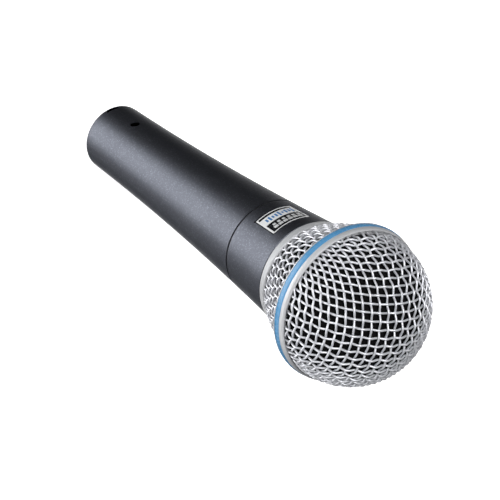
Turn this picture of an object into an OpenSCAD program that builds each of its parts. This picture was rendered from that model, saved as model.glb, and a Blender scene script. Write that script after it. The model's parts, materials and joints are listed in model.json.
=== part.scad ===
// Handheld dynamic vocal microphone, standing on its tail.
// Origin at the centre of the tail's rim, +Z along the microphone towards the grille, badge facing -Y.

/* [Overall] */
// Length from the tail's rim to the top of the grille
length = 160; // [159:0.5:163]
// Radius of the handle at the tail
tail_r = 11.5; // [11.3:0.1:11.8]
// Largest radius, over the coloured band
band_r = 25.4; // [25.2:0.1:25.8]

/* [Handle and neck] */
// Height of the seam between the handle and the neck
seam_z = 92; // [91:0.5:93]
// Height of the neck's shoulder, where the grille sits
shoulder_z = 112.9; // [112.7:0.1:113.2]
// Wall of the die-cast handle
wall = 2; // [1.8:0.1:2.2]
// Length of both screw joints
screw_len = 8; // [7.5:0.5:8]
// Pitch of both screw threads
pitch = 1.5; // [1.4:0.1:1.6]

/* [Tail socket] */
// Radius of the socket that takes the cable plug
socket_r = 8.15; // [8.1:0.05:8.2]
// Depth of the socket, from the rim to the insert's face
socket_depth = 12.6; // [12.4:0.1:13]
// Radius of a contact pin
contact_r = 1.19; // [1.15:0.01:1.25]
// Height of the insert's set screw
screw_z = 15.8; // [15.6:0.1:16]

/* [Grille] */
// Radius of the grille's dome, outside
dome_r = 24.4; // [24.2:0.1:24.4]
// Thickness of the woven mesh, two wires
mesh_t = 1.3; // [1.2:0.1:1.4]
// Thickness of the foam lining
foam_t = 2.6; // [2:0.2:2.6]

/* [Capsule] */
// Radius of the magnet
magnet_r = 7.6; // [7.2:0.1:7.6]
// Radius of the voice coil's former
coil_r = 8.3; // [8.3:0.05:8.35]
// Radius of the capsule's barrel
barrel_r = 11.5; // [11.4:0.1:11.6]

/* [Hidden] */

ROUND = 96;     // facets that a lathe-turned piece is drawn with
FINE = 32;      // facets of a small round piece
EPS = 0.05;     // overshoot of a cut past the face that it opens

// Outside of handle and neck: a slight flare that grows towards the grille
flare_rate = 0.0145;
flare_growth = 0.000345;
function shell_r(z) = tail_r + flare_rate * z + flare_growth * z * z;
function shell_line(z0, z1, steps, inset = 0) =
    [for (i = [0:steps]) let (z = z0 + (z1 - z0) * i / steps) [shell_r(z) - inset, z]];

// Points of an arc in the (r, z) plane, from angle a0 to angle a1
function arc(cr, cz, radius, a0, a1, steps) =
    [for (i = [0:steps]) let (a = a0 + (a1 - a0) * i / steps) [cr + radius * cos(a), cz + radius * sin(a)]];
function reversed(list) = [for (i = [len(list) - 1:-1:0]) list[i]];

// Tail
rim_round = 0.9;
mouth_r = socket_r + 0.35;
mouth_depth = 2.2;
insert_stop = 24;      // shoulder that the insert seats against
partition = 3;         // thickness of that shoulder
wire_way_r = 6.9;
notch_w = 4.8;
notch_sill = 0.35;     // thin rim left below the latch window
notch_h = 1.75;
screw_hole_r = 1.7;
screw_r = 1.4;
contact_pitch_r = 3.81;
contact_tip_z = 2.4;
contact_body_r = 1.5;  // stouter stretch held by the insert
cup_end_z = 29.5;

// Screw joints: the male thread's root, its ridge height and the clearance all round
seam_gap = 0.25;       // half the thickness of the ring in the seam
thread_h = 0.6;
thread_gap = 0.15;
thread_base = 0.9;
thread_crest = 0.35;
thread_steps = 32;     // facets of a thread in one turn
thread_turns = 4;
seam_thread_r = 12.7;
seam_bore_r = seam_thread_r + thread_h + thread_gap;
spigot_bore_r = 10.8;
collar_thread_r = 15.5;
collar_bore_r = collar_thread_r + thread_h + thread_gap;
capsule_bore_r = 13.9; // neck's bore around the capsule
spigot_top = shoulder_z + screw_len;

// Badge on the neck
badge_z = 102.6;
badge_h = 10.8;
badge_angle = 47.5;
badge_turn = 1.6;      // its middle stops a little past the set screw's line
badge_below = 0.15;    // its face lies this far under the neck's surface
badge_t = 0.5;
badge_gap = 0.25;      // groove left all round it
badge_glue = 0.05;     // film of glue under it

// Grille
gasket_t = 0.15;
collar_z = shoulder_z + gasket_t;
collar_rim_h = 3.15;
collar_rim_r = 17.65;
collar_rim_r2 = 18.3;
sleeve_r = 17.2;
mesh_z = collar_z + collar_rim_h;
dome_z = length - dome_r;
band_z = dome_z - 3.9;       // rear face of the band
band_front_z = dome_z + 0.4;
band_body_r = band_r - 0.25;
band_bore_r = 22.9;
band_seat = 1.4;             // depth of the seats that the meshes enter
stripe_z = band_z + 0.3;
stripe_h = 2.25;
stripe_floor_r = band_r - 0.7;
mesh_top_r = 24.2;
mesh_top_z = band_z + band_seat - 0.1;
mesh_bulge = 0.6;
crimp_t = 0.9;
foam_gap = 0.3;

// Capsule
barrel_z = 103.5;
barrel_wall = 0.8;
bowl_z = 122.5;
bowl_r = 14.5;
bowl_top = 130;
cup_z = 112;
cup_r = 10.6;
cup_bore_r = 9.1;
cup_top = 124.2;
cup_floor = 1.6;
magnet_top = 119.2;
pole_top = 123.6;
pole_r = magnet_r + 0.1;
coil_z = 118.8;
coil_top = 123;
film_z = 125.2;              // plane of the diaphragm's rim
film_t = 0.2;
film_rim_r = 13.5;
cap_r = 15.3;                // passes through the grille collar's thread
cap_z = 126.5;
cap_top = 135;
ledge_z = 101;               // neck's ledge under the shock mount
ledge_r = 11.4;
foot_h = 2;                  // the shock mount's foot
skin_t = 0.9;                // and its skin
relief_r = 13;

// Colours
enamel = [0.20, 0.22, 0.26];
silver = [0.76, 0.77, 0.79];
steel = [0.62, 0.62, 0.63];
black = [0.05, 0.05, 0.06];
blue = [0.15, 0.45, 0.80];
copper = [0.80, 0.45, 0.22];
brass = [0.85, 0.70, 0.35];

// ---------------------------------------------------------------- shared shapes

module lathe(outline) {
    rotate_extrude($fn = ROUND) polygon(outline);
}

module ring(r_out, r_in, z0, z1) {
    lathe([[r_in, z0], [r_out, z0], [r_out, z1], [r_in, z1]]);
}

module disc(r, z0, z1) {
    translate([0, 0, z0]) cylinder(r = r, h = z1 - z0, $fn = ROUND);
}

// Right-handed helical ridge of a screw thread, from radius r_root to r_crest
module thread(r_root, r_crest, z0) {
    last = thread_turns * thread_steps;
    section = [[r_root, -thread_base / 2], [r_crest, -thread_crest / 2],
               [r_crest, thread_crest / 2], [r_root, thread_base / 2]];
    points = [for (i = [0:last], q = section) let (a = 360 * i / thread_steps)
        [q[0] * cos(a), q[0] * sin(a), z0 + pitch * i / thread_steps + q[1]]];
    sides = [for (i = [0:last - 1], k = [0:3]) let (p = 4 * i + k, q = 4 * i + (k + 1) % 4)
        each [[p, q, q + 4], [p, q + 4, p + 4]]];
    ends = [[0, 3, 2], [0, 2, 1], [4 * last, 4 * last + 1, 4 * last + 2], [4 * last, 4 * last + 2, 4 * last + 3]];
    faces = concat(sides, ends);
    polyhedron(points, r_crest < r_root ? [for (f = faces) reversed(f)] : faces, convexity = 10);
}

// Round wire along a smooth curve through the given points
module wire(route, radius) {
    sides = 8;
    per_span = 5;
    n = len(route);
    function at(i) = route[max(0, min(n - 1, i))];
    function spline(i, t) =
        0.5 * (2 * at(i) + (at(i + 1) - at(i - 1)) * t
            + (2 * at(i - 1) - 5 * at(i) + 4 * at(i + 1) - at(i + 2)) * t * t
            + (3 * at(i) - at(i - 1) - 3 * at(i + 1) + at(i + 2)) * t * t * t);
    line = [for (i = [0:n - 2], k = [0:per_span - 1]) spline(i, k / per_span), route[n - 1]];
    last = len(line) - 1;
    points = [for (i = [0:last]) let (
            along = line[min(last, i + 1)] - line[max(0, i - 1)],
            t = along / norm(along),
            u = cross(t, [0, 1, 0]) / norm(cross(t, [0, 1, 0])),
            v = cross(t, u))
        each [for (k = [0:sides - 1]) let (a = 360 * k / sides) line[i] + radius * (u * cos(a) + v * sin(a))]];
    faces = concat(
        [[for (k = [0:sides - 1]) k]],
        [for (i = [0:last - 1], k = [0:sides - 1]) let (p = i * sides + k, q = i * sides + (k + 1) % sides)
            each [[p, p + sides, q + sides], [p, q + sides, q]]],
        [[for (k = [sides - 1:-1:0]) last * sides + k]]);
    polyhedron(points, faces, convexity = 10);
}

// ---------------------------------------------------------------- handle

module handle_shell() {
    cavity_z = insert_stop + partition;
    bore_z = seam_z - screw_len;
    outline = concat(
        arc(shell_r(0) - rim_round, rim_round, rim_round, -90, 0, 6),
        shell_line(2, seam_z - seam_gap, 18),
        [[seam_bore_r, seam_z - seam_gap], [seam_bore_r, bore_z]],
        reversed(shell_line(cavity_z, bore_z, 12, wall)),
        [[wire_way_r, cavity_z], [wire_way_r, insert_stop], [socket_r, insert_stop],
         [socket_r, mouth_depth + 0.3], [mouth_r, mouth_depth], [mouth_r, 0]]);
    color(enamel) union() {
        difference() {
            lathe(outline);
            translate([-notch_w / 2, -tail_r - 1, notch_sill])
                cube([notch_w, tail_r - socket_r + 1.8, notch_h]);
            translate([0, 0, screw_z]) rotate([90, 0, 0])
                cylinder(r = screw_hole_r, h = tail_r + 2, $fn = FINE);
        }
        thread(seam_bore_r + 0.1, seam_thread_r + thread_gap, bore_z + 0.9);
    }
}

module contact_place(number) {
    angles = [180, 0, 90];
    rotate(angles[number - 1]) translate([contact_pitch_r, 0, 0]) children();
}

module xlr_insert() {
    key_w = 2.2;
    key_h = 1.1;
    color(black) difference() {
        union() {
            disc(socket_r - 0.05, socket_depth, insert_stop - EPS);
            intersection() {
                disc(socket_r - 0.05, 4, socket_depth + 1);
                translate([-key_w / 2, -socket_r, 4]) cube([key_w, key_h, socket_depth]);
            }
        }
        for (i = [1:3]) contact_place(i)
            translate([0, 0, socket_depth - EPS])
                cylinder(r = contact_body_r, h = insert_stop, $fn = FINE);
        translate([0, 0, screw_z]) rotate([90, 0, 0])
            translate([0, 0, 4]) cylinder(r = screw_r, h = socket_r, $fn = FINE);
    }
}

module contact_pin(number) {
    tip = 0.7;
    cup_r = 1.35;
    color(brass) contact_place(number) difference() {
        rotate_extrude($fn = FINE) polygon(concat(
            [[0, contact_tip_z]],
            arc(contact_r - tip, contact_tip_z + tip, tip, -90, 0, 5),
            [[contact_r, socket_depth], [contact_body_r, socket_depth], [contact_body_r, insert_stop],
             [cup_r, insert_stop], [cup_r, cup_end_z], [0, cup_end_z]]));
        translate([0, 0, cup_end_z - 3]) cylinder(r = 0.85, h = 4, $fn = FINE);
        translate([0, -2, cup_end_z - 2.4]) cube([4, 4, 4]);
    }
}

module set_screw() {
    screw_in = 4.4;
    screw_out = 9.3;
    slot_w = 0.4;
    slot_depth = 0.7;
    color(steel) translate([0, 0, screw_z]) rotate([90, 0, 0]) difference() {
        translate([0, 0, screw_in]) cylinder(r = screw_r, h = screw_out - screw_in, $fn = FINE);
        translate([-screw_r - EPS, -slot_w / 2, screw_out - slot_depth])
            cube([2 * (screw_r + EPS), slot_w, slot_depth + 1]);
    }
}

// Leaf that joins contact 1 to the handle's wall
module ground_spring() {
    leaf_w = 3;
    leaf_t = 0.3;
    foot_z = insert_stop + partition + 1;
    wall_r = shell_r(foot_z + 8) - wall - 0.45;
    color(brass) translate([0, leaf_w / 2, 0]) rotate([90, 0, 0]) linear_extrude(leaf_w) union() {
        translate([-wall_r, foot_z]) square([leaf_t, 8]);
        translate([-wall_r, foot_z]) square([wall_r - contact_pitch_r - 1.4, leaf_t]);
    }
}

wire_r = 0.55;
module connector_wires() {
    start_z = cup_end_z - 1.4;
    color("dimgray") {
        wire([[-3.8, 0, start_z], [-3.8, 0, 32], [-4.6, -1.6, 37], [-2.8, -4.2, 43], concat(wire_holes[0], 48),
              concat(wire_holes[0], flange_low_z)], wire_r);
        wire([[3.8, 0, start_z], [3.8, 0, 32], [4.6, -1.6, 37], [2.8, -4.2, 43], concat(wire_holes[1], 48),
              concat(wire_holes[1], flange_low_z)], wire_r);
        wire([[0, 3.8, start_z], [0, 3.8, 32], [1.2, 5.2, 37], [0.8, 5.6, 43], concat(wire_holes[2], 48),
              concat(wire_holes[2], flange_low_z)], wire_r);
    }
}

// ---------------------------------------------------------------- transformer

core_w = 11;
core_d = 13;
core_z = 52;
core_h = 15;
core_limb = 2.6;
flange_low_z = core_z + core_limb + 0.1;
flange_top_z = core_z + core_h - core_limb - 0.1;
wire_holes = [[-1.3, -5], [1.3, -5], [0, 5]];
module transformer_core() {
    window_w = (core_w - 3 * core_limb) / 2;
    color(steel) difference() {
        translate([-core_w / 2, -core_d / 4, core_z]) cube([core_w, core_d / 2, core_h]);
        for (side = [-1, 1])
            translate([side * (core_limb + window_w) / 2 - window_w / 2, -core_d / 2, core_z + core_limb])
                cube([window_w, core_d, core_h - 2 * core_limb]);
    }
}

module transformer_bobbin() {
    flange_t = 0.7;
    low = flange_low_z;
    high = flange_top_z;
    hole = [core_limb + 0.1, core_d / 2 + 0.1];
    rim = [core_limb + 3.1, core_d];
    color("ivory") difference() {
        union() {
            for (z = [low, high - flange_t])
                translate([-rim[0] / 2, -rim[1] / 2, z]) cube([rim[0], rim[1], flange_t]);
            translate([-hole[0] / 2 - 0.3, -hole[1] / 2 - 0.5, low]) cube([hole[0] + 0.6, hole[1] + 1, high - low]);
        }
        translate([-hole[0] / 2, -hole[1] / 2, low - EPS]) cube([hole[0], hole[1], high - low + 2 * EPS]);
    }
}

module transformer_winding() {
    low = core_z + core_limb + 0.9;
    high = core_z + core_h - core_limb - 0.9;
    inner = [core_limb + 0.75, core_d / 2 + 1.2];
    outer = [core_limb + 2.8, core_d - 1];
    color(copper) translate([0, 0, low]) linear_extrude(high - low) difference() {
        square(outer, center = true);
        square(inner, center = true);
    }
}

// Plastic cradle that wedges the transformer in the handle
module transformer_cradle() {
    low = core_z - 3.5;
    high = core_z + 4.5;
    gap = 0.06;
    color("gray") difference() {
        lathe([[0, low], [shell_r(low) - wall - gap, low], [shell_r(high) - wall - gap, high], [0, high]]);
        translate([-core_w / 2 - 0.1, -core_d / 2 - 0.3, core_z - 0.1]) cube([core_w + 0.2, core_d + 0.6, core_h]);
        for (side = [-1, 1]) translate([0, side * 10, low - EPS]) cylinder(r = 2.4, h = 20, $fn = FINE);
        for (hole = wire_holes) translate([hole[0], hole[1], low - EPS])
            cylinder(r = wire_r + 0.25, h = core_z - low, $fn = FINE);
    }
}

lead_r = 0.5;
lug_x = 5;
lead_end_z = 99.6;
module capsule_lead(side) {
    wire([[side * 1.2, 5, flange_top_z], [side * 1.2, 5, flange_top_z + 4], [side * 4.2, 4, 73], [side * 6.2, 1, 78],
          [side * 5.2, -2.4, 83], [side * 3.6, -1.6, 88], [side * 4.4, 0.4, 93],
          [side * lug_x, 0, lead_end_z - 2.5], [side * lug_x, 0, lead_end_z]], lead_r);
}
module capsule_lead_red() { color("firebrick") capsule_lead(1); }
module capsule_lead_black() { color(black) capsule_lead(-1); }

// ---------------------------------------------------------------- neck

module seam_ring() {
    color(black) ring(shell_r(seam_z) - 0.3, seam_bore_r + 0.1, seam_z - seam_gap, seam_z + seam_gap);
}

module neck_shell() {
    spigot_z = seam_z - screw_len + 0.2;
    edge = 0.25;
    outline = concat(
        [[spigot_bore_r, spigot_z], [seam_thread_r, spigot_z], [seam_thread_r, seam_z + seam_gap],
         [shell_r(seam_z) - edge, seam_z + seam_gap]],
        shell_line(seam_z + seam_gap + edge, shoulder_z - edge, 8),
        [[shell_r(shoulder_z) - edge, shoulder_z], [collar_thread_r, shoulder_z], [collar_thread_r, spigot_top],
         [capsule_bore_r, spigot_top], [capsule_bore_r, ledge_z], [ledge_r, ledge_z],
         [ledge_r, ledge_z - 1.5], [relief_r, ledge_z - 3], [relief_r, seam_z + 3],
         [spigot_bore_r, seam_z + 1]]);
    color(enamel) union() {
        difference() {
            lathe(outline);
            badge_block(badge_below + badge_t + badge_glue, 3, badge_gap);
        }
        thread(seam_thread_r - 0.1, seam_thread_r + thread_h, spigot_z + 0.75 + pitch / 2 - 0.05);
        thread(collar_thread_r - 0.1, collar_thread_r + thread_h, shoulder_z + 0.9);
    }
}

// Curved block of the badge's outline, from a depth under the neck's surface to a height over it
module badge_block(under, over, gap = 0) {
    low = badge_z - badge_h / 2 - gap;
    high = badge_z + badge_h / 2 + gap;
    turn = badge_angle + 2 * gap / shell_r(badge_z) * 180 / PI;
    rotate([0, 0, badge_turn - 90 - turn / 2]) rotate_extrude(angle = turn, $fn = ROUND)
        polygon([[shell_r(low) - under, low], [shell_r(low) + over, low],
                 [shell_r(high) + over, high], [shell_r(high) - under, high]]);
}

module badge() {
    color(black) badge_block(badge_below + badge_t, -badge_below);
}

// Rubber sleeve: its foot is clamped in the neck, its thin skin flexes and its bead grips the barrel
module shock_mount() {
    bead_h = 4;
    top = spigot_top - 0.6;
    neck_side = capsule_bore_r - 0.3;
    skin_r = barrel_r + 0.5;
    color(black) lathe([
        [skin_r, ledge_z], [capsule_bore_r, ledge_z], [capsule_bore_r, ledge_z + foot_h],
        [skin_r + skin_t, ledge_z + foot_h], [skin_r + skin_t, top - bead_h], [neck_side, top - bead_h + 1],
        [neck_side, top], [barrel_r, top], [barrel_r, top - bead_h], [skin_r, top - bead_h - 1]]);
}

module mount_clamp_ring() {
    ring_h = 2.5;
    color(brass)
        ring(capsule_bore_r, barrel_r + 0.6 + skin_t, ledge_z + foot_h, ledge_z + foot_h + ring_h);
}

// ---------------------------------------------------------------- capsule

module capsule_housing() {
    inner_r = barrel_r - barrel_wall;
    color("dimgray") lathe([
        [inner_r, barrel_z], [barrel_r, barrel_z], [barrel_r, bowl_z], [bowl_r, bowl_z], [bowl_r, bowl_top],
        [bowl_r - barrel_wall, bowl_top], [bowl_r - barrel_wall, film_z], [film_rim_r - 0.5, film_z],
        [film_rim_r - 0.5, bowl_z + 1.2], [inner_r, bowl_z + 1.2]]);
}

module magnet_cup() {
    color(steel) difference() {
        disc(cup_r, cup_z, cup_top);
        disc(cup_bore_r, cup_z + cup_floor, cup_top + EPS);
    }
}

module magnet() {
    color("silver") disc(magnet_r, cup_z + cup_floor, magnet_top);
}

module pole_piece() {
    edge = 0.4;
    color(steel) lathe([[0, magnet_top], [pole_r, magnet_top], [pole_r, pole_top - edge],
                        [pole_r - edge, pole_top], [0, pole_top]]);
}

module rear_felt() {
    color("tan") ring(cup_r - 1, 3, cup_z - 3, cup_z);
}

module terminal_board() {
    board_t = 1.5;
    color("darkgreen") difference() {
        disc(barrel_r - barrel_wall, barrel_z, barrel_z + board_t);
        for (side = [-1, 1]) translate([side * lug_x, 0, barrel_z - EPS]) cylinder(r = 0.6, h = 2, $fn = FINE);
        translate([0, 0, barrel_z - EPS]) cylinder(r = 1.5, h = 2, $fn = FINE);
    }
}

module terminal_lugs() {
    eyelet_r = 1.3;
    color(brass) for (side = [-1, 1]) translate([side * lug_x, 0, 0]) {
        translate([0, 0, barrel_z - 0.3]) cylinder(r = eyelet_r, h = 0.3, $fn = FINE);
        translate([0, 0, lead_end_z]) cylinder(r = 0.6, h = barrel_z + 1.5 - lead_end_z, $fn = FINE);
    }
}

module diaphragm_clamp() {
    color("dimgray") ring(bowl_r - barrel_wall, film_rim_r - 0.7, film_z + film_t, film_z + 1.6);
}

// Film with a dome inside the coil and a half roll around it
module diaphragm() {
    dome_rise = 2.2;
    roll_mid = (coil_r + film_rim_r - 0.8) / 2;
    roll_w = (film_rim_r - 0.8 - coil_r) / 2;
    dome_ball = (coil_r * coil_r + dome_rise * dome_rise) / (2 * dome_rise);
    half = asin(coil_r / dome_ball);
    dome_line = arc(0, film_z + dome_rise - dome_ball, dome_ball, 90, 90 - half, 10);
    roll_line = [for (i = [1:8]) let (a = 180 - 22.5 * i)
        [roll_mid + roll_w * cos(a), film_z + 1.1 * sin(a)]];
    line = concat(dome_line, roll_line, [[film_rim_r, film_z]]);
    color([0.8, 0.8, 0.85, 0.6])
        lathe(concat(line, reversed([for (p = line) [p[0], p[1] + film_t]])));
}

module coil_former() {
    color("peru") ring(coil_r, coil_r - 0.1, coil_z, film_z);
}

module voice_coil() {
    color(copper) ring(coil_r + 0.4, coil_r, coil_z + 0.1, coil_top);
}

module front_cloth() {
    color(black) disc(bowl_r - 0.5, bowl_top, bowl_top + 0.5);
}

module resonator_cap() {
    skin = 0.7;
    crown_r = 40;
    crown_half = asin((cap_r - 1.2) / crown_r);
    crown = arc(0, cap_top - crown_r, crown_r, 90, 90 - crown_half, 6);
    inside = arc(0, cap_top - crown_r - skin - 0.5, crown_r, 90, 90 - crown_half, 6);
    shoulder = crown[6][1];
    color("gray") difference() {
        lathe(concat(crown, [[cap_r, shoulder - 1.2], [cap_r, cap_z], [cap_r - skin, cap_z],
                             [cap_r - skin, shoulder - 1.6]], reversed(inside)));
        translate([0, 0, bowl_top]) cylinder(r = 2, h = 6, $fn = FINE);
        for (i = [0:7]) rotate(45 * i) translate([6, 0, bowl_top]) cylinder(r = 1.3, h = 6, $fn = FINE);
        for (i = [0:15]) rotate(22.5 * i) translate([11, 0, bowl_top]) cylinder(r = 1.2, h = 6, $fn = FINE);
    }
}

// ---------------------------------------------------------------- grille

module collar_gasket() {
    color(black) ring(shell_r(shoulder_z) - 0.45, collar_bore_r + 0.1, shoulder_z, collar_z);
}

module grille_collar() {
    rim = [[collar_rim_r - 0.15, collar_z], [collar_rim_r, collar_z + 0.15],
           [collar_rim_r2, mesh_z - 0.4], [collar_rim_r2 - 0.3, mesh_z]];
    sleeve_top = spigot_top - 0.6;
    color(silver) union() {
        lathe(concat([[collar_bore_r, collar_z]], rim,
                     [[sleeve_r, mesh_z], [sleeve_r, sleeve_top], [collar_bore_r, sleeve_top]]));
        thread(collar_bore_r + 0.1, collar_thread_r + thread_gap, shoulder_z + 0.9 + pitch / 2);
    }
}

// Line of the flared lower mesh in the (r, z) plane, bulging outwards a little
function lower_line(inset, z0, z1, steps) = [for (i = [0:steps]) let (
        t = i / steps,
        z = z0 + (z1 - z0) * t,
        s = (z - mesh_z) / (mesh_top_z - mesh_z))
    [collar_rim_r2 + 0.1 + (mesh_top_r - collar_rim_r2 - 0.1) * s + mesh_bulge * 4 * s * (1 - s) - inset, z]];

module lower_mesh() {
    color(silver) lathe(concat(lower_line(0, mesh_z, mesh_top_z, 8),
                               reversed(lower_line(mesh_t - 0.2, mesh_z, mesh_top_z, 8))));
}

module lower_foam() {
    low = spigot_top + 0.4;
    high = band_z + 0.4;
    outside = mesh_t - 0.2 + foam_gap;
    line = lower_line(outside, low, high, 6);
    color(black) lathe(concat(line, reversed([for (p = line) [max(p[0] - foam_t, 17.1), p[1]]])));
}

module centre_band() {
    front = band_front_z;
    lip_r = stripe_floor_r + 0.5;
    color(silver) lathe([
        [mesh_top_r + 0.1, band_z], [lip_r, band_z], [lip_r, stripe_z],
        [stripe_floor_r, stripe_z], [stripe_floor_r, stripe_z + stripe_h], [band_body_r, stripe_z + stripe_h],
        [band_body_r, front - 1], [band_body_r - 0.1, front - 0.5], [band_body_r - 0.35, front - 0.1],
        [band_body_r - 0.6, front], [dome_r + 0.1, front],
        [dome_r + 0.1, dome_z - 1], [band_bore_r, dome_z - 1],
        [band_bore_r, band_z + band_seat], [mesh_top_r + 0.1, band_z + band_seat]]);
}

module blue_band() {
    groove = 0.15;
    high = stripe_z + stripe_h;
    low = stripe_z + groove;
    edge_r = stripe_floor_r + 0.45;
    bow = [for (i = [0:8]) let (a = -80 + 20 * i)
        [edge_r + (band_r - edge_r) * cos(a), (low + high) / 2 + (high - low) / 2 * sin(a) / sin(80)]];
    color(blue) lathe(concat([[stripe_floor_r, low]], bow, [[stripe_floor_r, high]]));
}

module crimp_ring() {
    color(black) ring(band_bore_r, band_bore_r - crimp_t, band_z + 1.1, dome_z + 0.3);
}

module upper_mesh() {
    color(silver) lathe(concat(
        [[dome_r, dome_z - 0.9]], arc(0, dome_z, dome_r, 0, 90, 18),
        arc(0, dome_z, dome_r - mesh_t, 90, 0, 18), [[dome_r - mesh_t, dome_z - 0.9]]));
}

module upper_foam() {
    outer_r = dome_r - mesh_t - foam_gap;
    low = asin(0.5 / outer_r);
    color(black) lathe(concat(
        arc(0, dome_z, outer_r, low, 90, 14),
        arc(0, dome_z, outer_r - foam_t, 90, low, 14)));
}

// ---------------------------------------------------------------- nodes

handle_shell();
xlr_insert();
contact_pin(1);  // contact_pin_1
contact_pin(2);  // contact_pin_2
contact_pin(3);  // contact_pin_3
set_screw();
ground_spring();
connector_wires();
transformer_core();
transformer_bobbin();
transformer_winding();
transformer_cradle();
capsule_lead_red();
capsule_lead_black();
seam_ring();
neck_shell();
badge();
mount_clamp_ring();
shock_mount();
capsule_housing();
magnet_cup();
magnet();
pole_piece();
diaphragm_clamp();
rear_felt();
terminal_board();
terminal_lugs();
front_cloth();
resonator_cap();
diaphragm();
coil_former();
voice_coil();
collar_gasket();
grille_collar();
lower_mesh();
lower_foam();
crimp_ring();
centre_band();
blue_band();
upper_mesh();
upper_foam();
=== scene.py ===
import json
import math
import bpy
import numpy as np
from mathutils import Matrix, Vector


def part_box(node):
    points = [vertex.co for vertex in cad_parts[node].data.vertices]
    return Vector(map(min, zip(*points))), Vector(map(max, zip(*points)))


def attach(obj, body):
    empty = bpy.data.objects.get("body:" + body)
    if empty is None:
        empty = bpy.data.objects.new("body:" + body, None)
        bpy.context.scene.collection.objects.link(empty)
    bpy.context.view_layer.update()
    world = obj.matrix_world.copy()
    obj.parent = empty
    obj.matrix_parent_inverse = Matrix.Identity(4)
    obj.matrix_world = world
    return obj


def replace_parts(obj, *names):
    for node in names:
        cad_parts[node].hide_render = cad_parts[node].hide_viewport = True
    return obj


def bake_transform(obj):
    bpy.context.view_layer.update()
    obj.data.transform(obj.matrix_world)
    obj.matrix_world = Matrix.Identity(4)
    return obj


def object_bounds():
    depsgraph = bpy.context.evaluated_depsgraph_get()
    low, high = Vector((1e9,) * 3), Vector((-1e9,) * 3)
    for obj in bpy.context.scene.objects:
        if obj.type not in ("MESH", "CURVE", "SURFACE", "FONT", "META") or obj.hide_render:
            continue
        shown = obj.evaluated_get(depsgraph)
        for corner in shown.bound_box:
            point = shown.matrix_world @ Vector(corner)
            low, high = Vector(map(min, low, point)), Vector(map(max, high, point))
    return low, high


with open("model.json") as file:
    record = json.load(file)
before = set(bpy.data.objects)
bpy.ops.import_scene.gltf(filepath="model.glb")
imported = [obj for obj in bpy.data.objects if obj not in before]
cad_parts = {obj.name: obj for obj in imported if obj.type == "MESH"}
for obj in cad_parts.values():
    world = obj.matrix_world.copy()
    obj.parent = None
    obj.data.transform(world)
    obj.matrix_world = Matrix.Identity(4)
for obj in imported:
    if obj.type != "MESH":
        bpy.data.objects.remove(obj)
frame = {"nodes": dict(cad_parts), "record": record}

MM = 0.001
CAD_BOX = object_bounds()
LENGTH = CAD_BOX[1].z - CAD_BOX[0].z
SLOTS = {part["node"]: part["material_slot"] for part in frame["record"]["subparts"]}


# ---------------------------------------------------------------- node materials

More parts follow.
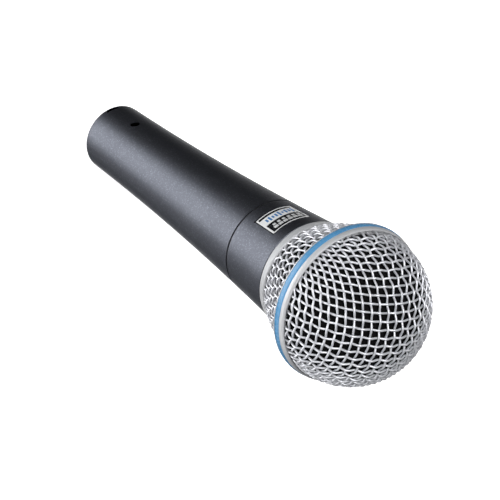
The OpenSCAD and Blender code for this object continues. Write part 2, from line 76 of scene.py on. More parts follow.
class Look:
    """A procedural material. Its textures lie on the object's own coordinates, in metres."""

    def __init__(self, name, **surface):
        self.mat = bpy.data.materials.new(name)
        self.mat.use_nodes = True
        self.nodes = self.mat.node_tree.nodes
        self.links = self.mat.node_tree.links
        self.shader = self.nodes["Principled BSDF"]
        self.here = self.nodes.new("ShaderNodeTexCoord").outputs["Object"]
        for socket, value in surface.items():
            self.shader.inputs[socket.replace("_", " ")].default_value = value

    def plug(self, node, **inputs):
        """Set or link a node's inputs, given by name or, as i0 and i1, by place."""
        for socket, value in inputs.items():
            by_place = socket[0] == "i" and socket[1:].isdigit()
            target = node.inputs[int(socket[1:]) if by_place else socket.replace("_", " ")]
            if isinstance(value, bpy.types.NodeSocket):
                self.links.new(value, target)
            else:
                target.default_value = value
        return node

    def stretched(self, x, y, z):
        """The object's coordinates with each axis scaled."""
        node = self.nodes.new("ShaderNodeMapping")
        node.inputs["Scale"].default_value = (x, y, z)
        self.links.new(self.here, node.inputs["Vector"])
        return node.outputs[0]

    def noise(self, size, detail=3.0, where=None, rough=0.5):
        """Cloudy noise whose blobs are about size metres wide."""
        node = self.nodes.new("ShaderNodeTexNoise")
        self.plug(node, Vector=where or self.here, Scale=1 / size, Detail=detail, Roughness=rough)
        return node.outputs[0]

    def cells(self, size, feature="F1", output="Distance"):
        """Voronoi cells about size metres wide."""
        node = self.nodes.new("ShaderNodeTexVoronoi")
        node.feature = feature
        return self.plug(node, Vector=self.here, Scale=1 / size).outputs[output]

    def bands(self, size, direction="Z", twist=0.0):
        """Soft bands size metres apart."""
        node = self.nodes.new("ShaderNodeTexWave")
        node.bands_direction = direction
        spacing_at_scale_one = 2 * math.pi / 20
        self.plug(node, Vector=self.here, Scale=spacing_at_scale_one / size, Distortion=twist)
        return node.outputs[1]

    def turned_bands(self, count):
        """Bands that run along the axis, count of them round it."""
        angle = self.math("ARCTAN2", self.axis(1), self.axis(0))
        return self.math("SINE", self.math("MULTIPLY", angle, float(count)))

    def axis(self, index):
        """The object's own X, Y or Z for index 0, 1 or 2."""
        split = self.nodes.new("ShaderNodeSeparateXYZ")
        self.links.new(self.here, split.inputs[0])
        return split.outputs[index]

    def axis_distance(self):
        """Distance from the Z axis, in metres."""
        x, y = self.axis(0), self.axis(1)
        squares = self.math("ADD", self.math("MULTIPLY", x, x), self.math("MULTIPLY", y, y))
        return self.math("SQRT", squares)

    def math(self, operation, a, b=0.0):
        node = self.nodes.new("ShaderNodeMath")
        node.operation = operation
        return self.plug(node, i0=a, i1=b).outputs[0]

    def spread(self, value, low, high, to_low=0.0, to_high=1.0):
        """Value mapped from low..high to to_low..to_high, clamped."""
        node = self.nodes.new("ShaderNodeMapRange")
        return self.plug(node, i0=value, i1=low, i2=high, i3=to_low, i4=to_high).outputs[0]

    def blend(self, share, a, b):
        """Colour a where share is 0 and b where it is 1."""
        node = self.nodes.new("ShaderNodeMix")
        node.data_type = "RGBA"
        colours = [s for s in node.inputs if s.type == "RGBA"]
        self.links.new(share, node.inputs[0])
        for target, colour in zip(colours, (a, b)):
            if isinstance(colour, bpy.types.NodeSocket):
                self.links.new(colour, target)
            else:
                target.default_value = (*colour, 1.0)
        return [s for s in node.outputs if s.type == "RGBA"][0]

    def colour(self, socket):
        self.links.new(socket, self.shader.inputs["Base Color"])

    def painted(self):
        """The socket that colours the shader so far."""
        return self.shader.inputs["Base Color"].links[0].from_socket

    def roughness(self, socket):
        self.links.new(socket, self.shader.inputs["Roughness"])

    def bump(self, height, depth, strength=1.0):
        """Relief of the given depth in metres. A second call adds finer relief on top."""
        node = self.nodes.new("ShaderNodeBump")
        node.inputs["Strength"].default_value = strength
        node.inputs["Distance"].default_value = depth
        self.links.new(height, node.inputs["Height"])
        before = self.shader.inputs["Normal"]
        if before.is_linked:
            self.links.new(before.links[0].from_socket, node.inputs["Normal"])
        self.links.new(node.outputs[0], before)


def enamel(name="enamel"):
    """Dark blue-grey metallic enamel with fine flakes and a faint orange peel."""
    look = Look(name, Metallic=1.0)
    flake = look.cells(0.00026, output="Color")
    split = look.nodes.new("ShaderNodeSeparateColor")
    look.links.new(flake, split.inputs[0])
    tint = look.blend(look.noise(0.012), (0.086, 0.091, 0.109), (0.102, 0.108, 0.127))
    bright = look.spread(split.outputs[0], 0.80, 1.0)
    look.colour(look.blend(bright, tint, (0.150, 0.160, 0.186)))
    look.roughness(look.spread(look.noise(0.0009, 5.0), 0.3, 0.7, 0.42, 0.50))
    look.bump(look.noise(0.00042, 4.0), 0.00003, 0.5)
    look.bump(split.outputs[1], 0.00001, 0.3)
    return look


def handle_enamel():
    """The handle's enamel, with painted shade: its inside, the screw hole and the latch window turn near
    black.
    """
    look = enamel("handle_enamel")
    z = look.axis(2)
    # the outside's radius in metres is tail + slope z + curve z^2
    tail, slope, curve = 0.0115, 0.0145, 0.345
    grown = look.math("MULTIPLY", z, look.math("ADD", look.math("MULTIPLY", z, curve), slope))
    depth = look.math("SUBTRACT", look.math("ADD", grown, tail), look.axis_distance())
    # painted shade: surface more than about half a millimetre inside the outer skin is coloured near black
    painted_shade = look.spread(depth, 0.0004, 0.0006)
    look.colour(look.blend(painted_shade, look.painted(), (0.003, 0.003, 0.003)))
    return look.mat


def satin_silver(name="satin_silver", colour=(0.58, 0.585, 0.60), dark=(0.51, 0.52, 0.54)):
    """Silver satin paint over metal."""
    look = Look(name, Metallic=0.28, Specular_IOR_Level=0.4)
    look.colour(look.blend(look.noise(0.006, 5.0), dark, colour))
    look.roughness(look.spread(look.noise(0.0006, 4.0), 0.3, 0.7, 0.42, 0.54))
    look.bump(look.noise(0.0003, 4.0), 0.00001, 0.5)
    return look


def collar_silver():
    """The collar's satin silver; the threaded sleeve hidden behind the mesh is near black, painted shade for
    the dark seen through the mesh.
    """
    look = satin_silver("collar_silver")
    sleeve_r, silver_r = 0.01726, 0.01730
    outside = look.spread(look.axis_distance(), sleeve_r, silver_r)
    # painted shade: the sleeve inside the silver radius is coloured near black
    look.colour(look.blend(outside, (0.004, 0.004, 0.0045), look.painted()))
    return look.mat


def mesh_wire():
    """Bright plated wire, faintly mottled and scratched."""
    look = Look("mesh_wire", Metallic=0.45, Coat_Weight=0.1, Coat_Roughness=0.3)
    look.colour(look.blend(look.noise(0.0011, 5.0), (0.68, 0.69, 0.73), (0.82, 0.83, 0.87)))
    look.roughness(look.spread(look.noise(0.0005, 5.0), 0.3, 0.7, 0.36, 0.48))
    look.bump(look.noise(0.00022, 3.0), 0.00001, 0.4)
    return look.mat


def blue_gloss():
    """Glossy blue lacquer, a touch lighter in cloudy patches."""
    look = Look("blue_gloss", Coat_Weight=0.08, Coat_Roughness=0.3, Specular_IOR_Level=0.35)
    look.colour(look.blend(look.noise(0.010, 3.0), (0.080, 0.250, 0.470), (0.100, 0.300, 0.530)))
    look.roughness(look.spread(look.noise(0.0012, 4.0), 0.3, 0.7, 0.22, 0.32))
    look.bump(look.noise(0.0012, 3.0), 0.00002, 0.25)
    return look.mat


def foam():
    """Open-cell foam: dark pores between lighter struts."""
    colour, cell = (0.0034, 0.0034, 0.0038), 0.00052
    look = Look("foam", Specular_IOR_Level=0.15)
    edge = look.cells(cell, feature="DISTANCE_TO_EDGE")
    strut = look.spread(edge, 0.02, 0.16, 1.0, 0.0)
    look.colour(look.blend(strut, tuple(0.25 * c for c in colour), colour))
    look.roughness(look.spread(look.noise(cell * 2), 0.3, 0.7, 0.85, 0.98))
    look.bump(strut, 0.00016, 0.8)
    look.bump(look.noise(cell * 3, 4.0), 0.0002, 0.4)
    return look.mat


def plastic(name, colour, gloss=0.42, grain=0.00035):
    """Moulded plastic with a fine spark-eroded grain."""
    look = Look(name, Specular_IOR_Level=0.45)
    dark = tuple(0.78 * c for c in colour)
    look.colour(look.blend(look.noise(0.004, 4.0), dark, colour))
    look.roughness(look.spread(look.noise(grain * 2, 4.0), 0.3, 0.7, gloss - 0.06, gloss + 0.08))
    look.bump(look.noise(grain, 4.0), 0.00003, 0.5)
    return look.mat


def rubber(name, colour):
    """Matt moulded rubber with bloom in cloudy patches."""
    look = Look(name, Specular_IOR_Level=0.35, Sheen_Weight=0.12)
    bloom = tuple(1.8 * c + 0.01 for c in colour)
    look.colour(look.blend(look.spread(look.noise(0.005, 6.0), 0.45, 0.8), colour, bloom))
    look.roughness(look.spread(look.noise(0.0008, 4.0), 0.3, 0.7, 0.62, 0.78))
    look.bump(look.noise(0.00035, 5.0), 0.00005, 0.5)
    return look.mat


def turned_metal(name, colour, gloss=0.3, metallic=1.0):
    """Metal with the fine rings that a lathe leaves round the axis, and a slight tarnish."""
    look = Look(name, Metallic=metallic)
    dark = tuple(0.72 * c for c in colour)
    look.colour(look.blend(look.spread(look.noise(0.003, 6.0), 0.35, 0.75), colour, dark))
    groove = 0.00018
    rings = look.noise(groove, 2.0, look.stretched(0.02, 0.02, 1.0))
    look.roughness(look.spread(rings, 0.3, 0.7, gloss - 0.07, gloss + 0.10))
    look.bump(rings, 0.00002, 0.45)
    return look.mat


def laminations():
    """Stacked steel sheets, seen as fine lines across the core's thickness."""
    look = Look("core_steel", Metallic=0.9)
    sheet = look.bands(0.00035, "Y", 0.3)
    look.colour(look.blend(sheet, (0.20, 0.20, 0.21), (0.42, 0.42, 0.43)))
    look.roughness(look.spread(look.noise(0.001, 5.0), 0.3, 0.7, 0.34, 0.55))
    look.bump(sheet, 0.00008, 0.8)
    return look.mat


def wound_wire(name, pitch):
    """Enamelled copper wire wound in tight rows along the axis."""
    look = Look(name, Metallic=0.85, Coat_Weight=0.6, Coat_Roughness=0.15)
    row = look.bands(pitch, "Z", 0.15)
    look.colour(look.blend(row, (0.22, 0.07, 0.025), (0.74, 0.33, 0.14)))
    look.roughness(look.spread(look.noise(0.0008), 0.3, 0.7, 0.2, 0.34))
    look.bump(row, pitch * 0.35, 0.9)
    return look.mat


def felt():
    """Pressed wool felt: matted fibres in two directions."""
    look = Look("felt", Sheen_Weight=0.6, Sheen_Roughness=0.5)
    fibre = look.noise(0.0004, 8.0, look.stretched(1.0, 0.25, 1.0), 0.7)
    cross = look.noise(0.0004, 8.0, look.stretched(0.25, 1.0, 1.0), 0.7)
    mat = look.math("ADD", fibre, cross)
    look.colour(look.blend(look.spread(mat, 0.8, 1.2), (0.20, 0.15, 0.10), (0.42, 0.34, 0.25)))
    look.roughness(look.spread(fibre, 0.3, 0.7, 0.9, 1.0))
    look.bump(mat, 0.0002, 0.8)
    return look.mat


def board():
    """Glass-fibre board under green lacquer, its weave just showing."""
    look = Look("board", Coat_Weight=0.4, Coat_Roughness=0.2)
    weave = look.math("MULTIPLY", look.bands(0.0005, "X"), look.bands(0.0005, "Y"))
    look.colour(look.blend(weave, (0.010, 0.070, 0.030), (0.020, 0.130, 0.055)))
    look.roughness(look.spread(look.noise(0.001, 4.0), 0.3, 0.7, 0.35, 0.5))
    look.bump(weave, 0.00003, 0.6)
    return look.mat


def cloth():
    """Fine plain-woven acoustic cloth."""
    look = Look("cloth", Sheen_Weight=0.5, Sheen_Roughness=0.4)
    weave = look.math("MAXIMUM", look.bands(0.00028, "X", 0.4), look.bands(0.00028, "Y", 0.4))
    look.colour(look.blend(weave, (0.006, 0.006, 0.007), (0.035, 0.035, 0.040)))
    look.roughness(look.spread(look.noise(0.0006, 4.0), 0.3, 0.7, 0.8, 0.95))
    look.bump(weave, 0.00008, 0.9)
    return look.mat


def film():
    """Thin clear polyester with pressed radial corrugations."""
    look = Look("film", Alpha=0.8, Coat_Weight=0.8, Coat_Roughness=0.08)
    ridge = look.turned_bands(48)
    look.colour(look.blend(look.noise(0.004), (0.62, 0.64, 0.68), (0.78, 0.80, 0.84)))
    look.roughness(look.spread(look.noise(0.002, 3.0), 0.3, 0.7, 0.12, 0.22))
    look.bump(ridge, 0.00006, 0.5)
    return look.mat


def paper(name, light, dark):
    """Kraft paper or lacquered card with short fibres."""
    look = Look(name)
    look.colour(look.blend(look.noise(0.0008, 8.0), dark, light))
    look.roughness(look.spread(look.noise(0.0006, 5.0), 0.3, 0.7, 0.55, 0.75))
    look.bump(look.noise(0.0003, 6.0), 0.00004, 0.5)
    return look.mat


def lacquer(name, colour, gloss=0.22):
    """Smooth printed lacquer of the badge."""
    look = Look(name, Coat_Weight=0.6, Coat_Roughness=0.1)
    look.colour(look.blend(look.noise(0.003, 4.0), tuple(0.86 * c for c in colour), colour))
    look.roughness(look.spread(look.noise(0.0007, 4.0), 0.3, 0.7, gloss, gloss + 0.1))
    look.bump(look.noise(0.0005, 3.0), 0.00001, 0.5)
    return look.mat


LOOKS = {
    "enamel": enamel().mat,
    "handle_enamel": handle_enamel(),
    "satin_silver": satin_silver().mat,
    "mesh_wire": mesh_wire(),
    "collar_silver": collar_silver(),
    "blue_gloss": blue_gloss(),
    "foam": foam(),
    "badge_plate": lacquer("badge_plate", (0.006, 0.006, 0.008)),
    "insert_plastic": plastic("insert_plastic", (0.016, 0.016, 0.018)),
    "contact_metal": turned_metal("contact_metal", (0.78, 0.62, 0.30), 0.22),
    "screw_steel": turned_metal("screw_steel", (0.36, 0.36, 0.38), 0.34),
    "wire_grey": plastic("wire_grey", (0.16, 0.16, 0.17), 0.5),
    "core_steel": laminations(),
    "bobbin_plastic": plastic("bobbin_plastic", (0.66, 0.60, 0.46), 0.46),
    "copper_wire": wound_wire("copper_wire", 0.00022),
    "cradle_plastic": plastic("cradle_plastic", (0.075, 0.078, 0.085), 0.5, 0.0006),
    "lead_red": plastic("lead_red", (0.42, 0.022, 0.018), 0.45),
    "lead_black": plastic("lead_black", (0.014, 0.014, 0.015), 0.45),
    "black_rubber": rubber("black_rubber", (0.010, 0.010, 0.011)),
    "mount_rubber": rubber("mount_rubber", (0.018, 0.018, 0.019)),
    "ring_brass": turned_metal("ring_brass", (0.72, 0.56, 0.30), 0.32),
    # near black: where it colours the crimp ring under the band, it is painted shade for the dark gap
    # between band and dome
    "black_steel": turned_metal("black_steel", (0.012, 0.012, 0.013), 0.5, 0.5),
    "housing_alloy": turned_metal("housing_alloy", (0.24, 0.245, 0.26), 0.42, 0.8),
    "magnet_nickel": turned_metal("magnet_nickel", (0.66, 0.65, 0.62), 0.16),
    "felt": felt(),
    "board": board(),
    "cloth": cloth(),
    "cap_plastic": plastic("cap_plastic", (0.10, 0.10, 0.11), 0.48, 0.0005),
    "film": film(),
    "former": paper("former", (0.52, 0.34, 0.18), (0.34, 0.20, 0.10)),
}


# ---------------------------------------------------------------- mesh pieces

def new_piece(name, points, faces, look, smooth=True):
    """Mesh object from points in millimetres."""
    mesh = bpy.data.meshes.new(name)
    mesh.from_pydata((np.asarray(points, float) * MM).tolist(), [], [list(map(int, f)) for f in faces])
    mesh.polygons.foreach_set("use_smooth", [smooth] * len(mesh.polygons))
    mesh.update()
    piece = bpy.data.objects.new(name, mesh)
    bpy.context.scene.collection.objects.link(piece)
    mesh.materials.append(look)
    return piece


def tube(path, outward, radius, sides=8):
    """Points and faces of a closed round tube; outward gives each ring's first direction."""
    along = np.gradient(path, axis=0)
    along /= np.linalg.norm(along, axis=1, keepdims=True)
    side = np.cross(along, outward)
    side /= np.linalg.norm(side, axis=1, keepdims=True)
    up = np.cross(side, along)
    angle = np.arange(sides) * 2 * math.pi / sides
    ring = np.cos(angle)[None, :, None] * up[:, None, :] + np.sin(angle)[None, :, None] * side[:, None, :]
    points = (path[:, None, :] + radius * ring).reshape(-1, 3)
    count = len(path)
    here = np.arange(sides)
    after = (here + 1) % sides
    start = (np.arange(count - 1) * sides)[:, None]
    quads = np.stack([start + here, start + sides + here, start + sides + after, start + after], -1)
    caps = [list(range(sides)), list(range(count * sides - 1, (count - 1) * sides - 1, -1))]
    return points, quads.reshape(-1, 4).tolist() + caps


def joined(parts):
    """Several (points, faces) as one."""
    points, faces, first = [], [], 0
    for some_points, some_faces in parts:
        points.append(some_points)
        faces += [[first + v for v in face] for face in some_faces]
        first += len(some_points)
    return np.concatenate(points), faces


def node_outline(node):
    """Radius and height of each vertex of a CAD node, in millimetres."""
    at = np.array([v.co for v in frame["nodes"][node].data.vertices], float) / MM
    return np.hypot(at[:, 0], at[:, 1]), at[:, 2]


# ---------------------------------------------------------------- woven wire

WIRE_R = 0.34         # wire of the grille, in millimetres
CRIMP = 0.365         # how far a wire swings to each side of the cloth's middle, in millimetres
RINGS_PER_PITCH = 6   # rings of a wire's tube from one crossing to the next
FEWEST_RINGS = 4      # a shorter bit of wire at the cloth's edge is left out


class Surface:
    """Surface of revolution, given by its line from the pole.
    A flat point's length is its distance from the pole along that line."""

    def __init__(self, line):
        line = np.asarray(line, float)
        self.length = np.concatenate([[0], np.cumsum(np.hypot(*np.diff(line, axis=0).T))])
        self.radius, self.height = line[:, 0], line[:, 1]

    def at(self, flat):
        distance = np.hypot(flat[..., 0], flat[..., 1])
        share = np.interp(distance, self.length, self.radius) / np.maximum(distance, 1e-9)
        height = np.interp(distance, self.length, self.height)
        return np.stack([flat[..., 0] * share, flat[..., 1] * share, height], -1)


def meeting_points(surface, a, b, guess, step):
    """Where threads of one length from a and from b meet on the surface, by Newton's method."""
    from_a, from_b = surface.at(a), surface.at(b)
    flat, nudge, rounds = guess.copy(), 1e-4, 7

    def miss(place):
        p = surface.at(place)
        lengths = [np.linalg.norm(p - start, axis=-1) for start in (from_a, from_b)]
        return np.stack(lengths, -1) - step

    for _ in range(rounds):
        f = miss(flat)
        fx = (miss(flat + [nudge, 0]) - f) / nudge
        fy = (miss(flat + [0, nudge]) - f) / nudge
        det = fx[:, 0] * fy[:, 1] - fy[:, 0] * fx[:, 1]
        change = np.stack([(f[:, 0] * fy[:, 1] - f[:, 1] * fy[:, 0]) / det,
                           (f[:, 1] * fx[:, 0] - f[:, 0] * fx[:, 1]) / det], -1)
        flat = flat - np.clip(change, -step, step)
    return flat


def cloth_net(surface, step, reach):
    """Nodes of a woven cloth drawn over the surface: its threads keep their length and only shear."""
    n = int(reach / step) + 1
    quarter = np.full((n + 1, n + 1, 2), np.nan)
    t = np.arange(n + 1) * step
    quarter[:, 0] = np.stack([t, 0 * t], -1)
    quarter[0, :] = np.stack([0 * t, t], -1)
    for total in range(2, 2 * n + 1):
        i = np.arange(max(1, total - n), min(n, total - 1) + 1)
        j = total - i
        a, b, d = quarter[i, j - 1], quarter[i - 1, j], quarter[i - 1, j - 1]
        known = np.isfinite(a + b + d).all(1)
        if not known.any():
            break
        i, j, a, b, d = i[known], j[known], a[known], b[known], d[known]
        met = meeting_points(surface, a, b, a + b - d, step)
        met[np.hypot(met[:, 0], met[:, 1]) > reach] = np.nan
        quarter[i, j] = met
    net = np.full((2 * n + 1, 2 * n + 1, 2), np.nan)
    for si in (1, -1):
        for sj in (1, -1):
            net[np.ix_(n + si * np.arange(n + 1), n + sj * np.arange(n + 1))] = quarter * [si, sj]
    return net


def between_nodes(net, step, u, v):
    """The net's flat point at thread coordinates u, v."""
    n = (net.shape[0] - 1) // 2
    a, b = np.clip(u / step + n, 0, 2 * n - 1e-6), np.clip(v / step + n, 0, 2 * n - 1e-6)
    i, j = a.astype(int), b.astype(int)
    p, q = (a - i)[:, None], (b - j)[:, None]
    near = net[i, j] * (1 - p) + net[i + 1, j] * p
    far = net[i, j + 1] * (1 - p) + net[i + 1, j + 1] * p
    return near * (1 - q) + far * q


def woven(place, pitch, shift, span, first_over):
    """Wires of a plain weave. place(u, v) gives points, outward directions and which of them are wanted.
    first_over is 1 if family 0 lies on top where wires 0 and 0 cross, otherwise -1."""
    parts = []
    count = int(span / pitch)
    along = np.arange(-span, span, pitch / RINGS_PER_PITCH)
    for family in (0, 1):
        for k in range(-count, count + 1):
            across = np.full_like(along, (k + shift[family]) * pitch)
            u, v = (across, along) if family == 0 else (along, across)
            at, outward, wanted = place(u, v)
            swing = CRIMP * np.cos(math.pi * (along / pitch - shift[1 - family]))
            swing *= (-1) ** k * (first_over if family == 0 else -first_over)
            path = at + outward * swing[:, None]
            edges = np.flatnonzero(np.diff(np.concatenate([[0], wanted.astype(int), [0]])))
            for start, end in zip(edges[::2], edges[1::2]):
                if end - start >= FEWEST_RINGS:
                    parts.append(tube(path[start:end], outward[start:end], WIRE_R))
    return joined(parts)


def spun(at, turn):
    """Points turned about the Z axis."""
    c, s = math.cos(turn), math.sin(turn)
    return at @ np.array([[c, s, 0], [-s, c, 0], [0, 0, 1]])


def dome_mesh():
    """Woven dome of the grille: one cloth drawn over a half ball and down into the band's seat."""
    # first_wires is how far wire 0 of each family lies from the pole, as shares of the pitch
    pitch, first_wires, turn = 2.557, (0.740, 0.232), math.radians(70.98)
    net_step, spare, skirt_end = pitch / 4, 3, -6.0
    low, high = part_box("upper_mesh")
    outer = (high.x - low.x) / 2 / MM
    centre_z = high.z / MM - outer
    skirt = centre_z - low.z / MM
    radius = outer - CRIMP - WIRE_R
    arc = np.linspace(0, math.pi / 2, 90)
    surface = Surface([(radius * math.sin(a), radius * math.cos(a)) for a in arc] + [(radius, skirt_end)])
    reach = radius * math.pi / 2 + skirt
    net = cloth_net(surface, net_step, reach + spare)

    def place(u, v):
        flat = between_nodes(net, net_step, u, v)
        at = surface.at(flat)
        wanted = (np.hypot(flat[:, 0], flat[:, 1]) < reach) & np.isfinite(at).all(1)
        outward = at / radius
        outward[:, 2] = np.maximum(outward[:, 2], 0)
        at, outward = np.nan_to_num(at), np.nan_to_num(outward, nan=1.0)
        outward /= np.linalg.norm(outward, axis=1, keepdims=True)
        return spun(at, turn) + [0, 0, centre_z], spun(outward, turn), wanted

    points, faces = woven(place, pitch, first_wires, reach, -1)
    piece = new_piece("dome_mesh", points, faces, LOOKS["mesh_wire"])
    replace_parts(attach(piece, "grille"), "upper_mesh")


def flared_mesh():
    """Woven mesh between collar and band: a flat cloth, drawn in towards the collar."""
    first_wires, turn, span = (-0.03, 0.95), math.radians(-14.05), 17.0
    # thread coordinates of the collar's and the band's circle, along a thread and across the diagonal
    collar, band = (8.07, 9.47), (14.59, 14.12)
    radius, height = node_outline("lower_mesh")
    low_z, high_z = height.min(), height.max()
    levels = np.linspace(low_z, high_z, 9)
    outside = [radius[np.abs(height - z) < 0.3].max() for z in levels]
    middle = np.array(outside) - CRIMP - WIRE_R
    rise = np.gradient(middle, levels)

    def place(u, v):
        flat, bearing = np.hypot(u, v), np.arctan2(v, u)
        slant = (1 - np.cos(4 * bearing)) / 2
        start = collar[0] + (collar[1] - collar[0]) * slant
        end = band[0] + (band[1] - band[0]) * slant
        share = (flat - start) / (end - start)
        z = low_z + (high_z - low_z) * share
        r, lean = np.interp(z, levels, middle), np.interp(z, levels, rise)
        around = bearing + turn
        at = np.stack([r * np.cos(around), r * np.sin(around), z], -1)
        outward = np.stack([np.cos(around), np.sin(around), -lean], -1)
        return at, outward / np.linalg.norm(outward, axis=1, keepdims=True), (share > 0) & (share < 1)

    points, faces = woven(place, 1.0, first_wires, span, 1)
    piece = new_piece("flared_mesh", points, faces, LOOKS["mesh_wire"])
    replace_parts(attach(piece, "grille"), "lower_mesh")


# ---------------------------------------------------------------- foam

def foam_shell(name, node):
    """Foam lining: the CAD solid's outline, drawn finely and dented as open cells are."""
    voxel, dent_width, dent_depth = 0.0006, 0.0012, 0.00025
    source = frame["nodes"][node]
    piece = source.copy()
    piece.data = source.data.copy()
    piece.name = name
    for key in list(piece.keys()):
        if key.startswith("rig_"):
            del piece[key]
    piece.parent = None
    bpy.context.scene.collection.objects.link(piece)
    piece.data.materials.clear()
    piece.data.materials.append(LOOKS["foam"])
    remesh = piece.modifiers.new("remesh", "REMESH")
    remesh.mode = "VOXEL"
    remesh.voxel_size = voxel
    texture = bpy.data.textures.new(name + "_cells", "CLOUDS")
    texture.noise_scale = dent_width
    texture.noise_depth = 2
    dents = piece.modifiers.new("dents", "DISPLACE")
    dents.texture = texture
    dents.texture_coords = "LOCAL"
    dents.strength = dent_depth
    dents.mid_level = 0.75
    bpy.context.view_layer.update()
    baked = bpy.data.meshes.new_from_object(piece.evaluated_get(bpy.context.evaluated_depsgraph_get()))
    piece.modifiers.clear()
    piece.data = baked
    baked.name = name
    baked.polygons.foreach_set("use_smooth", [True] * len(baked.polygons))
    piece.hide_render = piece.hide_viewport = False
    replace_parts(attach(piece, "grille"), node)


# ---------------------------------------------------------------- badge

class BadgeFace:
    """The badge's outer face. Bearings are degrees from its middle, heights and lifts are millimetres."""

    def __init__(self):
        low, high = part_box("badge")
        self.low, self.high = low.z / MM, high.z / MM
        radius, height = node_outline("badge")
        near = 0.5
        self.low_r = radius[height < self.low + near].max()
        self.high_r = radius[height > self.high - near].max()
        bearings = [math.degrees(math.atan2(v.co.x, -v.co.y)) for v in frame["nodes"]["badge"].data.vertices]
        self.turn = (min(bearings) + max(bearings)) / 2
        self.half = (max(bearings) - min(bearings)) / 2

    def point(self, bearing, z, lift):
        r = self.low_r + (self.high_r - self.low_r) * (z - self.low) / (self.high - self.low) + lift
        b = math.radians(self.turn + bearing)
        return r * math.sin(b), -r * math.cos(b), z

    def plate(self, a0, a1, z0, z1, lift):
        """Thin curved plate from bearing a0 to a1 and height z0 to z1, with a bevelled edge."""
        across, up = max(2, int(abs(a1 - a0) / 1.5) + 1), 2
        bevel, sunk = min(0.06, 0.25 * abs(z1 - z0)), -0.02
        bevel_turn = math.degrees(bevel / self.high_r)
        points, faces = [], []
        for inset, out in ((0, sunk), (0, lift * 0.6), (1, lift)):
            for j in range(up + 1):
                for i in range(across + 1):
                    z = z0 + inset * bevel + (z1 - z0 - 2 * inset * bevel) * (j / up)
                    a = a0 + inset * bevel_turn + (a1 - a0 - 2 * inset * bevel_turn) * (i / across)
                    points.append(self.point(a, z, out))
        row, sheet = across + 1, (across + 1) * (up + 1)
        for j in range(up):
            for i in range(across):
                top, under = 2 * sheet + j * row + i, j * row + i
                faces.append((top, top + 1, top + row + 1, top + row))
                faces.append((under, under + row, under + row + 1, under + 1))
        rim = list(range(across)) + [j * row + across for j in range(up)]
        rim += [up * row + across - i for i in range(across)] + [(up - j) * row for j in range(up)]
        for first in (0, sheet):
            for p, q in zip(rim, rim[1:] + rim[:1]):
                faces.append((first + p, first + q, first + sheet + q, first + sheet + p))
        return np.array(points), faces


def bar_row(face, first, last, middle):
    """Plain bars of uneven height from bearing first to last."""
    shares, tallest, fullness = (1.0, 0.62, 0.85, 0.40, 1.0, 0.70, 0.50, 0.90, 0.60), 1.35, 0.62
    step = (last - first) / len(shares)
    bars = []
    for i, share in enumerate(shares):
        low, high = middle - tallest * share, middle + tallest * share
        bars.append(face.plate(first + i * step, first + (i + fullness) * step, low, high, 0.10))
    return bars


def block_rows(face, first, last, middle):
    """Two rows of plain blocks from bearing first to last, the upper row's wider."""
    count = 6
    step = (last - first) / count
    blocks = []
    for i in range(count):
        a = first + i * step
        blocks.append(face.plate(a, a + 0.55 * step, middle - 1.25, middle - 0.25, 0.07))
        blocks.append(face.plate(a, a + 0.80 * step, middle + 0.15, middle + 1.25, 0.07))
    return blocks


def badge_pieces():
    """Frame, stripe and plain bar patterns on the badge's face. They carry no lettering."""
    face = BadgeFace()
    margin, line = 0.32, 0.34
    edge, left, right = face.half - 0.9, 1.0, 2.1
    bottom, top = face.low + margin, face.high - margin
    frame_plates = [
        face.plate(-edge, edge, top - line, top, 0.09),
        face.plate(-edge, edge, bottom, bottom + line, 0.09),
        face.plate(-edge, -edge + left, bottom + line, top - line, 0.09),
        face.plate(edge - right, edge, bottom + line, top - line, 0.09),
    ]
    stripe_low, stripe_high = face.low + 1.75, face.low + 5.45
    stripe = [face.plate(-edge + left, edge - right, stripe_low, stripe_high, 0.07)]
    first, last = -edge + 4.0, edge - 5.0
    bars = bar_row(face, first, last, (stripe_low + stripe_high) / 2)
    blocks = block_rows(face, first, last, (stripe_high + top - line) / 2)
    white = lacquer("badge_white", (0.78, 0.79, 0.80), 0.3)
    silver = satin_silver("badge_silver", (0.70, 0.71, 0.72), (0.60, 0.61, 0.62)).mat
    blue = lacquer("badge_blue", (0.035, 0.17, 0.42), 0.28)
    for name, plates, look in (("badge_frame", frame_plates, white), ("badge_stripe", stripe, white),
                               ("badge_blue_bars", bars, blue), ("badge_silver_ticks", blocks, silver)):
        piece = new_piece(name, *joined(plates), look, smooth=False)
        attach(piece, "neck")


# ---------------------------------------------------------------- soft and loose internals

def curve_through(route, steps=8):
    """Smooth line through the route's points, with steps points to each stretch."""
    ends = np.vstack([route[:1], route, route[-1:]])
    line = []
    for i in range(len(route) - 1):
        p0, p1, p2, p3 = ends[i:i + 4]
        for t in np.arange(steps) / steps:
            line.append(0.5 * (2 * p1 + (p2 - p0) * t + (2 * p0 - 5 * p1 + 4 * p2 - p3) * t * t
                               + (3 * p1 - p0 - 3 * p2 + p3) * t ** 3))
    return np.array(line + [route[-1]])


def capsule_lead(side, node, slot):
    """Lead from the transformer's bobbin to the capsule's terminal."""
    lead_r, sides = 0.48, 12
    route = np.array([(1.2, 5, 64.3), (1.2, 5, 68.3), (4.2, 4, 73), (6.2, 1, 78), (5.2, -2.4, 83),
                      (3.6, -1.6, 88), (4.4, 0.4, 93), (5, 0, 97.1), (5, 0, 99.6)]) * [side, 1, 1]
    line = curve_through(route)
    outward = np.tile([0.0, 1.0, 0.0], (len(line), 1))
    piece = new_piece("sleeve_" + slot, *tube(line, outward, lead_r, sides), LOOKS[slot])
    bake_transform(piece)
    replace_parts(piece, node)


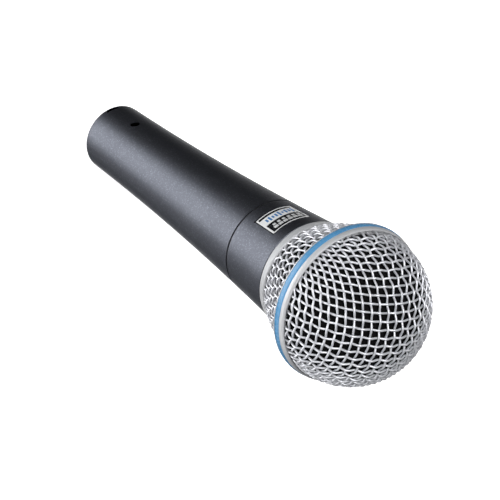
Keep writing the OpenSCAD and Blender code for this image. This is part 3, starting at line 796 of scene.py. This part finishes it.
def rubber_sleeve():
    """Shock mount: foot, thin ribbed skin and bead, between neck and capsule."""
    radius, height = node_outline("shock_mount")
    low, top = height.min(), height.max()
    inner, outer = radius.min(), radius.max()
    foot, bead = low + 2, top - 4
    skin = inner + 0.5
    ribs, rib_height, turns = 6, 0.07, 96
    line = [(skin, low + 0.1), (outer - 0.1, low + 0.1), (outer - 0.1, foot - 0.15),
            (outer - 0.3, foot - 0.02)]
    steps = 44
    for i in range(steps + 1):
        z = foot + (bead - foot) * i / steps
        line.append((skin + 0.8 + rib_height * math.sin(2 * math.pi * ribs * i / steps), z))
    line += [(outer - 0.45, bead + 1), (outer - 0.3, bead + 1.3), (outer - 0.32, top - 0.3),
             (outer - 0.6, top - 0.05), (inner + 0.4, top - 0.05), (inner + 0.05, top - 0.4),
             (inner + 0.05, bead), (skin, bead - 1)]
    points, faces = [], []
    for k in range(turns):
        a = 2 * math.pi * k / turns
        points += [(r * math.cos(a), r * math.sin(a), z) for r, z in line]
    n = len(line)
    for k in range(turns):
        for i in range(n):
            a, b = k * n, (k + 1) % turns * n
            faces.append((a + i, b + i, b + (i + 1) % n, a + (i + 1) % n))
    piece = new_piece("rubber_sleeve", points, faces, LOOKS["mount_rubber"])
    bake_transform(piece)
    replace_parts(piece, "shock_mount")


# ---------------------------------------------------------------- CAD nodes' looks

OWN_LOOKS = {"grille_collar": "collar_silver", "handle_shell": "handle_enamel"}


def dress_nodes():
    """Every CAD node takes its slot's procedural material."""
    for node, piece in frame["nodes"].items():
        look = LOOKS[OWN_LOOKS.get(node, SLOTS[node])]
        piece.data.materials.clear()
        piece.data.materials.append(look)


# ---------------------------------------------------------------- studio

def white_floor():
    """Pale floor that curves up into a backdrop all round, far outside the view."""
    look = Look("floor_white", Roughness=0.9, Emission_Strength=1.0)
    look.shader.inputs["Emission Color"].default_value = (1, 1, 1, 1)
    look.colour(look.blend(look.noise(0.5), (0.90, 0.90, 0.90), (0.94, 0.94, 0.94)))
    flat, bend, wall, turns = 2500.0, 1500.0, 4000.0, 96
    line = [(0.0, 0.0)] + [(flat * k / 8, 0.0) for k in range(1, 9)]
    line += [(flat + bend * math.sin(a), bend * (1 - math.cos(a)))
             for a in np.linspace(0.1, math.pi / 2, 16)]
    line.append((flat + bend, wall))
    points = [(0.0, 0.0, 0.0)]
    for r, z in line[1:]:
        points += [(r * math.cos(2 * math.pi * k / turns), r * math.sin(2 * math.pi * k / turns), z)
                   for k in range(turns)]
    faces = [(0, 1 + k, 1 + (k + 1) % turns) for k in range(turns)]
    for i in range(len(line) - 2):
        a, b = 1 + i * turns, 1 + (i + 1) * turns
        faces += [(a + k, b + k, b + (k + 1) % turns, a + (k + 1) % turns) for k in range(turns)]
    floor = new_piece("floor", points, faces, look.mat)
    floor.visible_glossy = False
    floor.visible_diffuse = False
    floor.visible_shadow = False
    floor.location.z = -0.0002


AIM = Vector((0.0033, 0.0026, 0.538 * LENGTH))
DISTANCE = 4.873 * LENGTH
AZIMUTH, ELEVATION, ROLL = math.radians(38.0), math.radians(46.57), math.radians(125.9)
BACK = Vector((math.sin(AZIMUTH) * math.cos(ELEVATION), -math.cos(AZIMUTH) * math.cos(ELEVATION),
               math.sin(ELEVATION)))


def camera_axes():
    forward = -BACK
    level = forward.cross(Vector((0, 0, 1))).normalized()
    above = level.cross(forward)
    c, s = math.cos(ROLL), math.sin(ROLL)
    return level * c + above * s, above * c - level * s, BACK


def camera():
    right, up, back = camera_axes()
    data = bpy.data.cameras.new("camera")
    data.lens, data.sensor_width = 180, 36
    data.clip_start, data.clip_end = 0.01, 100
    eye = bpy.data.objects.new("camera", data)
    bpy.context.scene.collection.objects.link(eye)
    eye.matrix_world = Matrix((right, up, back)).transposed().to_4x4()
    eye.location = AIM + back * DISTANCE
    bpy.context.scene.camera = eye


def softbox(name, bearing, height, distance, size, power):
    """Rectangular area light aimed at the part.
    Its bearing (0 is -Y, 90 is +X) and height above the horizon are in degrees."""
    a, e = math.radians(bearing), math.radians(height)
    way = Vector((math.sin(a) * math.cos(e), -math.cos(a) * math.cos(e), math.sin(e)))
    data = bpy.data.lights.new(name, "AREA")
    data.shape = "RECTANGLE"
    data.size, data.size_y = size
    data.energy = power
    lamp = bpy.data.objects.new(name, data)
    bpy.context.scene.collection.objects.link(lamp)
    lamp.location = AIM + way * distance
    lamp.rotation_mode = "QUATERNION"
    lamp.rotation_quaternion = way.to_track_quat("Z", "Y")
    lamp.visible_camera = False


def studio():
    white_floor()
    softbox("key", 59, -42, 0.9, (0.75, 0.75), 8.0)
    softbox("wide_fill", 112, -14, 1.2, (1.4, 1.2), 8.5)
    softbox("front_top", 10, 55, 1.0, (0.7, 0.7), 11)
    softbox("behind", 218, -47, 1.3, (0.8, 0.8), 5)
    softbox("left_edge", -98, -42, 1.0, (0.5, 0.5), 0.35)
    world = bpy.data.worlds.new("studio")
    world.use_nodes = True
    world.node_tree.nodes["Background"].inputs["Color"].default_value = (1, 1, 1, 1)
    world.node_tree.nodes["Background"].inputs["Strength"].default_value = 0.04
    bpy.context.scene.world = world
    bpy.context.scene.view_settings.view_transform = "Standard"


camera()
studio()
dress_nodes()
dome_mesh()
flared_mesh()
foam_shell("dome_foam", "upper_foam")
foam_shell("flared_foam", "lower_foam")
badge_pieces()
capsule_lead(1, "capsule_lead_red", "lead_red")
capsule_lead(-1, "capsule_lead_black", "lead_black")
rubber_sleeve()
